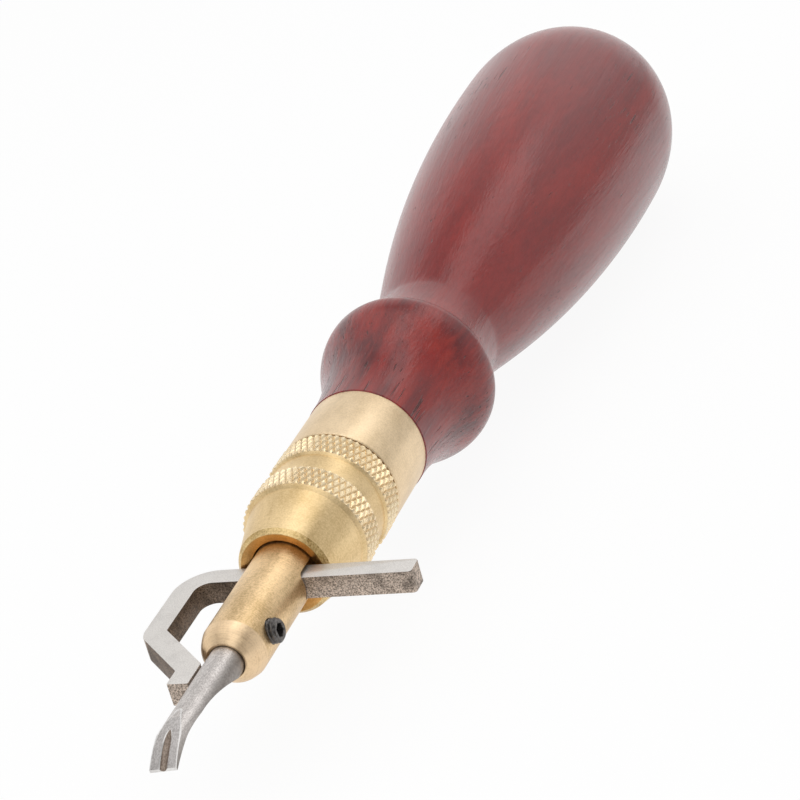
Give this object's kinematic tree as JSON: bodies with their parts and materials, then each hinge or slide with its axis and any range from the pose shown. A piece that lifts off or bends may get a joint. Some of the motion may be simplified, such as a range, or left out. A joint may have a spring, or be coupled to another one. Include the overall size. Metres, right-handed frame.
{
  "type": "leather stitching groover",
  "caption": "Hand groover for leather: turned wooden handle, brass spindle with a knurled clamp nut, sliding steel edge guide and a channelled cutting tip held by a set screw.",
  "frame": {"origin": "middle of the tip socket's mouth, on the tool axis", "axes": "+Y along the tool axis towards the handle's butt, +X towards the guide's free end, +Z out of the guide's top face"},
  "size_m": [0.0344, 0.1876, 0.0336],
  "materials": {
    "handle_wood": "satin varnish over dark red hardwood",
    "ferrule_brass": "fine turned",
    "spindle_brass": "fine turned",
    "nut_brass": "turned and diamond knurled",
    "guide_steel": "ground faces with grey cut edges",
    "tip_steel": "drawn shank with ground facets",
    "screw_black": "black oxide"
  },
  "bodies": {
    "grip": {"handle": "handle_wood", "ferrule": "ferrule_brass", "spindle": "spindle_brass"},
    "nut": {"clamp_nut": "nut_brass"},
    "edge_guide": {"guide": "guide_steel"},
    "tip": {"groover_tip": "tip_steel"},
    "screw": {"set_screw": "screw_black"}
  },
  "joints": [
    {"name": "guide_slide", "type": "slide", "parent": "grip", "child": "edge_guide", "axis": [-1, 0, 0], "range_m": [0, 0.012]},
    {"name": "tip_slide", "type": "slide", "parent": "grip", "child": "tip", "axis": [0, -1, 0], "range_m": [0, 0.01]},
    {"name": "nut_turn", "type": "hinge", "parent": "grip", "child": "nut", "pos_m": [0, 0.0285, 0], "axis": [0, 1, 0], "range_deg": [0, 90]},
    {"name": "screw_turn", "type": "hinge", "parent": "grip", "child": "screw", "pos_m": [0, 0.0053, 0], "axis": [0.9903, 0, 0.1392], "range_deg": [0, 180]}
  ]
}
